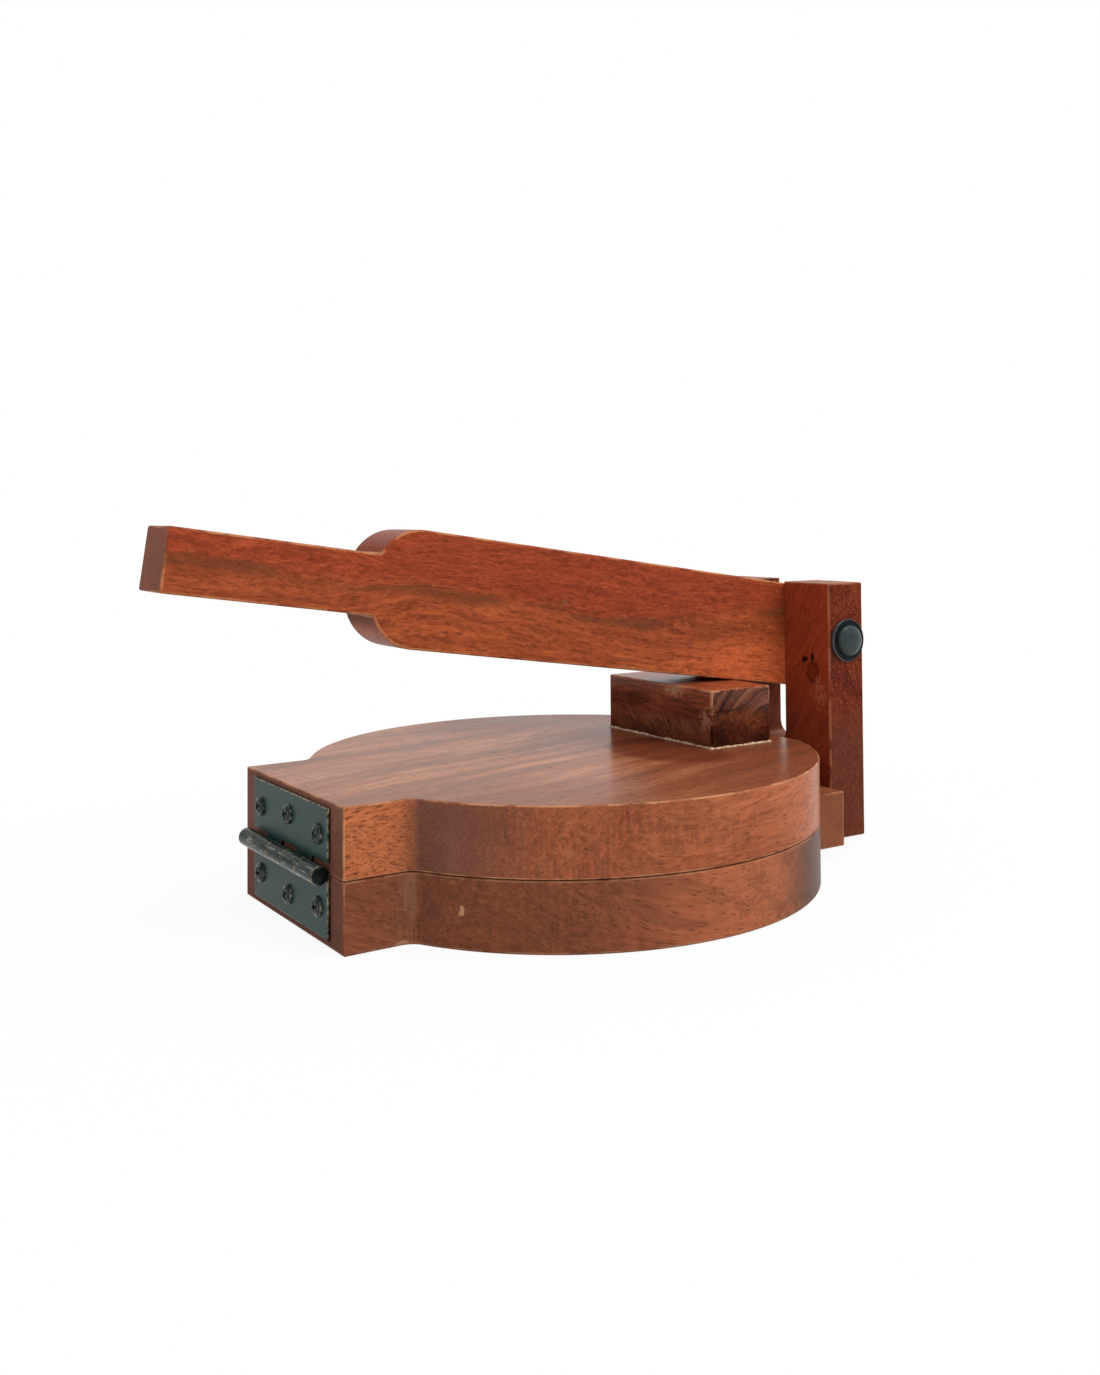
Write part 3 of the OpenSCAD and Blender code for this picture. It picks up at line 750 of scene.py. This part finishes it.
def chain_of(edges):
    """The vertices of a row of edges in order, highest end first."""
    ends = [v for e in edges for v in e.verts if sum(v in other.verts for other in edges) == 1]
    row = [max(ends, key=lambda v: v.co.z)]
    while len(row) <= len(edges):
        row.append(next(e.other_vert(row[-1]) for e in edges if row[-1] in e.verts
                        and e.other_vert(row[-1]) not in row))
    return row


glue = glue_finish()
glue_line()

# %% [markdown]
# ## Hinge
# A butt hinge has two flat leaves and five knuckles on one pin. The lower leaf owns the
# odd knuckles and the upper leaf the even ones, and each leaf is notched for the other.

# %% Hinge
def lathe(mesh, profile, matrix, steps=40):
    """Spins a line of (radius, height) points full circle round Z, then places it."""
    pen = first = mesh.verts.new((profile[0][0], 0, profile[0][1]))
    chain = [first]
    for radius, height in profile[1:]:
        pen = bmesh.ops.extrude_vert_indiv(mesh, verts=[pen])["verts"][0]
        pen.co = (radius, 0, height)
        chain.append(pen)
    lines = [mesh.edges.get(pair) for pair in zip(chain, chain[1:])]
    made = bmesh.ops.spin(mesh, geom=chain + lines, cent=(0, 0, 0), axis=(0, 0, 1), angle=2 * pi,
                          steps=steps, use_merge=True)
    faces = {f for v in chain for f in v.link_faces}
    grown = set(faces)
    while faces:
        faces = {f for face in faces for e in face.edges for f in e.link_faces} - grown
        grown |= faces
    verts = list({v for face in grown for v in face.verts})
    bmesh.ops.transform(mesh, matrix=matrix, space=Matrix.Identity(4), verts=verts)
    return grown


def closed(mesh):
    """Joins doubled vertices and turns every face outwards."""
    bmesh.ops.remove_doubles(mesh, verts=mesh.verts[:], dist=0.000001)
    bmesh.ops.recalc_face_normals(mesh, faces=mesh.faces[:])
    return mesh


LEAF_T, LEAF_H = 1.2 * MM, 21.6 * MM
KNUCKLE_R, SLIT = 3.3 * MM, 0.25 * MM
HINGE_LOW, HINGE_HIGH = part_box("lower_leaf")[0][1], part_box("lower_leaf")[1][1]
KNUCKLE_L = (HINGE_HIGH - HINGE_LOW) / 5
HINGE_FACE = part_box("lid_board")[0][0]
ALONG_Y = Matrix.Rotation(radians(-90), 4, "X")


def leaf(name, node, side, own, body):
    clear = KNUCKLE_R + SLIT
    line = Outline(HINGE_LOW, side * (0 if 0 in own else clear))
    for k in range(5):
        level = 0 if k in own else clear
        if k:
            edge = HINGE_LOW + k * KNUCKLE_L + (SLIT / 2 if k in own else -SLIT / 2)
            line.line(edge, side * (clear if k in own else 0)).line(edge, side * level)
    end = 0 if 4 in own else clear
    line.line(HINGE_HIGH, side * end).line(HINGE_HIGH, side * LEAF_H).line(HINGE_LOW, side * LEAF_H)
    mesh = line.solid(LEAF_T)
    turned(mesh, Matrix.Translation((HINGE_FACE - LEAF_T, 0, PIN.z)) @ YZ_TO_WORLD)
    bmesh.ops.recalc_face_normals(mesh, faces=mesh.faces[:])
    ease(mesh, 0.35 * MM, segments=2, pick=lambda e: all(v.co.x < HINGE_FACE - LEAF_T / 2 for v in e.verts))
    mark = mesh.faces.layers.float["edge"]
    for face in mesh.faces:
        if abs(face.normal.x) < 0.5:
            face[mark] = 0.9
    for k in own:
        middle = HINGE_LOW + (k + 0.5) * KNUCKLE_L
        half = (KNUCKLE_L - SLIT) / 2
        soft = 0.35 * MM
        rim = KNUCKLE_R - soft
        profile = [(1.2 * MM, -half), (rim, -half), (KNUCKLE_R - soft * 0.3, soft * 0.3 - half),
                   (KNUCKLE_R, soft - half), (KNUCKLE_R, half - soft),
                   (KNUCKLE_R - soft * 0.3, half - soft * 0.3), (rim, half), (1.2 * MM, half)]
        place = Matrix.Translation((PIN.x, middle, PIN.z)) @ ALONG_Y
        faces = lathe(mesh, profile, place)
        for face in faces:
            away = abs(face.calc_center_median().y - middle)
            face[mark] = 1.0 if away > half - soft * 1.05 else 0.0
        bmesh.ops.recalc_face_normals(mesh, faces=list(faces))
    return piece(name, mesh, body, "hinge_paint", hinge_paint, node)


leaf("hinge_leaf_lower", "lower_leaf", -1, (0, 2, 4), "base")
leaf("hinge_leaf_upper", "upper_leaf", 1, (1, 3), "lid")


def pin_piece():
    mesh = bmesh.new()
    low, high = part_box("hinge_pin")[0][1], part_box("hinge_pin")[1][1]
    half, middle = (high - low) / 2, (high + low) / 2
    neck = (HINGE_HIGH - HINGE_LOW) / 2
    profile = [(0, -half), (1.5 * MM, 0.12 * MM - half), (2.3 * MM, 0.5 * MM - half),
               (2.9 * MM, 1.0 * MM - half),
               (3.05 * MM, -neck), (1.6 * MM, -neck), (1.6 * MM, neck), (3.05 * MM, neck),
               (2.9 * MM, half - 1.0 * MM),
               (2.3 * MM, half - 0.5 * MM), (1.5 * MM, half - 0.12 * MM), (0, half)]
    mark = mesh.faces.layers.float.new("edge")
    for face in lathe(mesh, profile, Matrix.Translation((PIN.x, middle, PIN.z)) @ ALONG_Y):
        centre = face.calc_center_median()
        face[mark] = 1.0 if hypot(centre.x - PIN.x, centre.z - PIN.z) > 2.7 * MM else 0.0
    return piece("hinge_pin_domed", closed(mesh), "base", "hinge_paint", bolt_black, "hinge_pin")


pin_piece()

# %% [markdown]
# ## Screws
# Each head has a cross recess: a small grid is its middle, the cross in it is pushed
# in, and its rim is extruded outwards and down. The hinge has pan heads, and the fork
# has flat ones at its back.

# %% Screws
ARM = 0.5 * MM
PAN_R, PAN_H = 3.5 * MM, 1.8 * MM
FLAT_H = HEADS_OUT


def cross_head(arm, depth, height, bulge, rings):
    """A screw head on the XY plane; a ring is a radius in mm and a share of the height."""
    mesh = bmesh.new()
    mark = mesh.faces.layers.float.new("edge")
    bmesh.ops.create_grid(mesh, x_segments=8, y_segments=8, size=4 * arm)
    offset = lambda f: [abs(f.calc_center_median()[k]) for k in (0, 1)]
    cross = [f for f in mesh.faces if min(offset(f)) < arm]
    rim = [e for e in mesh.edges if e.is_boundary]
    level = lambda radius: height * (1 - bulge * (radius / PAN_R) ** 2.6)
    for vert in mesh.verts:
        vert.co.z = level(hypot(vert.co.x, vert.co.y))
    for radius, share in rings:
        grown = bmesh.ops.extrude_edge_only(mesh, edges=rim)["geom"]
        rim = [g for g in grown if isinstance(g, bmesh.types.BMEdge)]
        for vert in (g for g in grown if isinstance(g, bmesh.types.BMVert)):
            flat = Vector((vert.co.x, vert.co.y)).normalized() * radius * MM
            vert.co = (flat.x, flat.y, level(radius * MM) if share is None else share * height)
    grown = bmesh.ops.extrude_face_region(mesh, geom=cross)["geom"]
    sunk = [g for g in grown if isinstance(g, bmesh.types.BMVert)]
    bmesh.ops.delete(mesh, geom=cross, context="FACES")
    bmesh.ops.translate(mesh, verts=sunk, vec=(0, 0, -depth))
    bmesh.ops.scale(mesh, verts=sunk, vec=(0.85, 0.85, 1))
    bmesh.ops.recalc_face_normals(mesh, faces=mesh.faces[:])
    for face in mesh.faces:
        middle = face.calc_center_median()
        radius = hypot(middle.x, middle.y)
        # The bottom of the cross recess is marked -1 for painted shade.
        deep = middle.z < level(radius) - depth * 0.3 and radius < 5 * arm
        face[mark] = -1.0 if deep else 0.8 if radius > (rings[-1][0] - 0.2) * MM else 0.0
    return mesh


def pan_head(name, node, body, twist):
    low, high = (Vector(corner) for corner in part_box(node))
    seat = Vector((low.x + PAN_H, (low.y + high.y) / 2, (low.z + high.z) / 2))
    rings = ((2.95, None), (3.2, None), (3.4, 0.5), (3.5, 0.28), (3.5, 0.0))
    mesh = cross_head(ARM, 1.1 * MM, PAN_H, 0.62, rings)
    facing = Matrix.Rotation(radians(-90), 4, "Y")
    turned(mesh, Matrix.Translation(seat) @ facing @ Matrix.Rotation(radians(twist), 4, "Z"))
    return piece(name, mesh, body, "screw_black", screw_black, node)


def flat_head(name, node, twist):
    low, high = (Vector(corner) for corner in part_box(node))
    seat = Vector((high.x - FLAT_H, (low.y + high.y) / 2, (low.z + high.z) / 2))
    rings = ((2.4, None), (2.8, None), (3.0, 0.6), (3.0, 0.0))
    mesh = cross_head(0.42 * MM, 0.27 * MM, FLAT_H, 0.0, rings)
    facing = Matrix.Rotation(radians(90), 4, "Y")
    turned(mesh, Matrix.Translation(seat) @ facing @ Matrix.Rotation(radians(twist), 4, "Z"))
    return piece(name, mesh, "base", "screw_steel", screw_zinc, node)


for leaf_name, body, twists in (("lower", "base", (12, 35, 8)), ("upper", "lid", (-15, 20, 28))):
    for number, twist in enumerate(twists, 1):
        pan_head(f"{leaf_name}_pan_head_{number}", f"{leaf_name}_screw_{number}", body, twist)
for number, twist in enumerate((10, 50, 75, 32), 1):
    flat_head(f"fork_flat_head_{number}", f"fork_screw_{number}", twist)

# %% [markdown]
# ## Pivot bolt
# The bolt's head is a low dome with a tiny point left by the tool, on a flat washer.

# %% Pivot bolt
DOME_R, SHANK_R, DOME_FOOT = 6.55 * MM, 3.1 * MM, 0.3 * MM
WASHER_R, HOLE_R, RIM = 9 * MM, 3.2 * MM, 0.3 * MM


def pivot_parts():
    low, high = (Vector(corner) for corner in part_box("pivot_bolt"))
    axis_x, axis_z = PIVOT.x, PIVOT.z
    near = Matrix.Translation((axis_x, 0, axis_z)) @ Matrix.Rotation(radians(90), 4, "X")
    seat, top = -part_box("head_washer")[0][1], -low.y
    rise = top - seat - 0.35 * MM
    dome = [(sin(a * pi / 20) * DOME_R, seat + DOME_FOOT + cos(a * pi / 20) * (rise - DOME_FOOT))
            for a in range(1, 11)]
    profile = [(0, top), (0.3 * MM, top - 0.06 * MM), (0.5 * MM, top - 0.38 * MM)] + dome
    profile += [(DOME_R, seat), (SHANK_R, seat), (SHANK_R, -high.y + 0.5 * MM),
                (2.6 * MM, -high.y), (0, -high.y)]
    mesh = bmesh.new()
    mesh.faces.layers.float.new("edge")
    lathe(mesh, profile, near, 64)
    piece("dome_bolt", closed(mesh), "base", "black_bolt", bolt_grey, "pivot_bolt")
    for name, node in (("washer_near", "head_washer"), ("washer_far", "nut_washer")):
        start, stop = -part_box(node)[1][1], -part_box(node)[0][1]
        profile = [(HOLE_R, start), (WASHER_R - RIM, start), (WASHER_R, start + RIM), (WASHER_R, stop - RIM),
                   (WASHER_R - RIM, stop), (HOLE_R, stop), (HOLE_R, start)]
        mesh = bmesh.new()
        mark = mesh.faces.layers.float.new("edge")
        for face in lathe(mesh, profile, near, 64):
            middle = face.calc_center_median()
            across = hypot(middle.x - axis_x, middle.z - axis_z)
            face[mark] = 1.0 if across > WASHER_R - RIM else 0.0
        piece(name, closed(mesh), "base", "black_bolt", bolt_black, node)


pivot_parts()

# %% [markdown]
# ## Hidden fixings
# The rail's screws and the bolt's nut sit at the back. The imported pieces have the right
# shape, so they only get their finishes.

# %% Hidden fixings
for node, made in frame["nodes"].items():
    if node.startswith("rail_screw"):
        made.data.materials.clear()
        made.data.materials.append(screw_zinc)
    elif node == "pivot_nut":
        made.data.materials.clear()
        made.data.materials.append(bolt_black)
print("back fixings finished")

# %% [markdown]
# ## Studio
# The camera sees the floor and the room as plain white, but their light on the press is
# softer: the room is brightest behind it. A large lamp from the front right gives the
# sides their shape, one on the left fills them in, and one above adds a shine.

# %% Studio
def floor_finish():
    """White paper that keeps a soft shadow near the press and is plain white farther off."""
    f = Finish("floor_white")
    seen = f.add("ShaderNodeLightPath", out="Is Camera Ray")
    for kind in ("Is Glossy Ray", "Is Transmission Ray"):
        seen = seen.math("MAXIMUM", f.add("ShaderNodeLightPath", out=kind))
    away = f.vector("LENGTH", f.vector("MULTIPLY", f.place, (0.8, 1.0, 0.0)), (0, 0, 0), out="Value")
    f.set(Base_Color=(0.72, 0.72, 0.72), Roughness=0.9, Specular_IOR_Level=0.0)
    glow = f.add("ShaderNodeEmission", {}, {"Color": (1, 1, 1), "Strength": 1.0})
    share = seen * (away.between(0.10, 0.30) * 0.07 + 0.93)
    paper = f.add("ShaderNodeMixShader", {}, {0: share, 1: Value(f, f.shader.outputs[0]), 2: glow})
    f.tree.links.new(paper.socket, f.tree.nodes["Material Output"].inputs["Surface"])
    return f.material


floor_mesh = bmesh.new()
bmesh.ops.create_grid(floor_mesh, x_segments=1, y_segments=1, size=6)
floor_data = bpy.data.meshes.new("floor")
floor_mesh.to_mesh(floor_data)
floor_mesh.free()
floor_data.materials.append(floor_finish())
floor = bpy.data.objects.new("floor", floor_data)
bpy.context.scene.collection.objects.link(floor)

ROOM_DARK, ROOM_WHITE = 0.15, 1.0
BRIGHT_SIDE = (0.5, 0.7, 0.5)

world = bpy.data.worlds.new("studio")
bpy.context.scene.world = world
world.use_nodes = True


def sky(kind, settings=None, inputs=None, out=0):
    node = world.node_tree.nodes.new(kind)
    for key, value in (settings or {}).items():
        setattr(node, key, value)
    for key, value in (inputs or {}).items():
        if isinstance(value, bpy.types.NodeSocket):
            world.node_tree.links.new(value, node.inputs[key])
        else:
            node.inputs[key].default_value = value
    return node.outputs[out]


toward = sky("ShaderNodeVectorMath", {"operation": "DOT_PRODUCT"},
             {0: sky("ShaderNodeTexCoord", out="Generated"), 1: BRIGHT_SIDE}, out=1)
room = sky("ShaderNodeMapRange", {"interpolation_type": "SMOOTHSTEP"},
           {"Value": toward, "From Min": -0.2, "From Max": 0.85, "To Min": ROOM_DARK, "To Max": ROOM_WHITE})
white = sky("ShaderNodeMath", {"operation": "MAXIMUM"},
            {0: sky("ShaderNodeLightPath", out="Is Camera Ray"),
             1: sky("ShaderNodeLightPath", out="Is Transmission Ray")})
level = sky("ShaderNodeMix", {}, {0: white, 2: room, 3: 1.0})
world.node_tree.links.new(level, world.node_tree.nodes["Background"].inputs["Strength"])
world.node_tree.nodes["Background"].inputs["Color"].default_value = (1, 1, 1, 1)


def lamp(name, place, aim, size, watts, shiny=False):
    light = bpy.data.lights.new(name, "AREA")
    light.shape = "RECTANGLE"
    light.size, light.size_y = size
    light.energy = watts
    made = bpy.data.objects.new(name, light)
    bpy.context.scene.collection.objects.link(made)
    place, aim = Vector(place), Vector(aim)
    turn = (aim - place).to_track_quat("-Z", "Y").to_matrix().to_4x4()
    made.matrix_world = Matrix.Translation(place) @ turn
    made.visible_glossy = shiny
    return made


lamp("key", (0.9, -1.6, 1.2), (0, 0, 0.05), (1.4, 1.0), 31)
lamp("fill", (-1.2, -1.1, 0.7), (0, 0, 0.05), (1.0, 0.8), 12)
lamp("top", (0.2, -0.3, 1.3), (0, 0, 0.05), (0.5, 0.5), 6, shiny=True)
bpy.context.scene.view_settings.view_transform = "Standard"
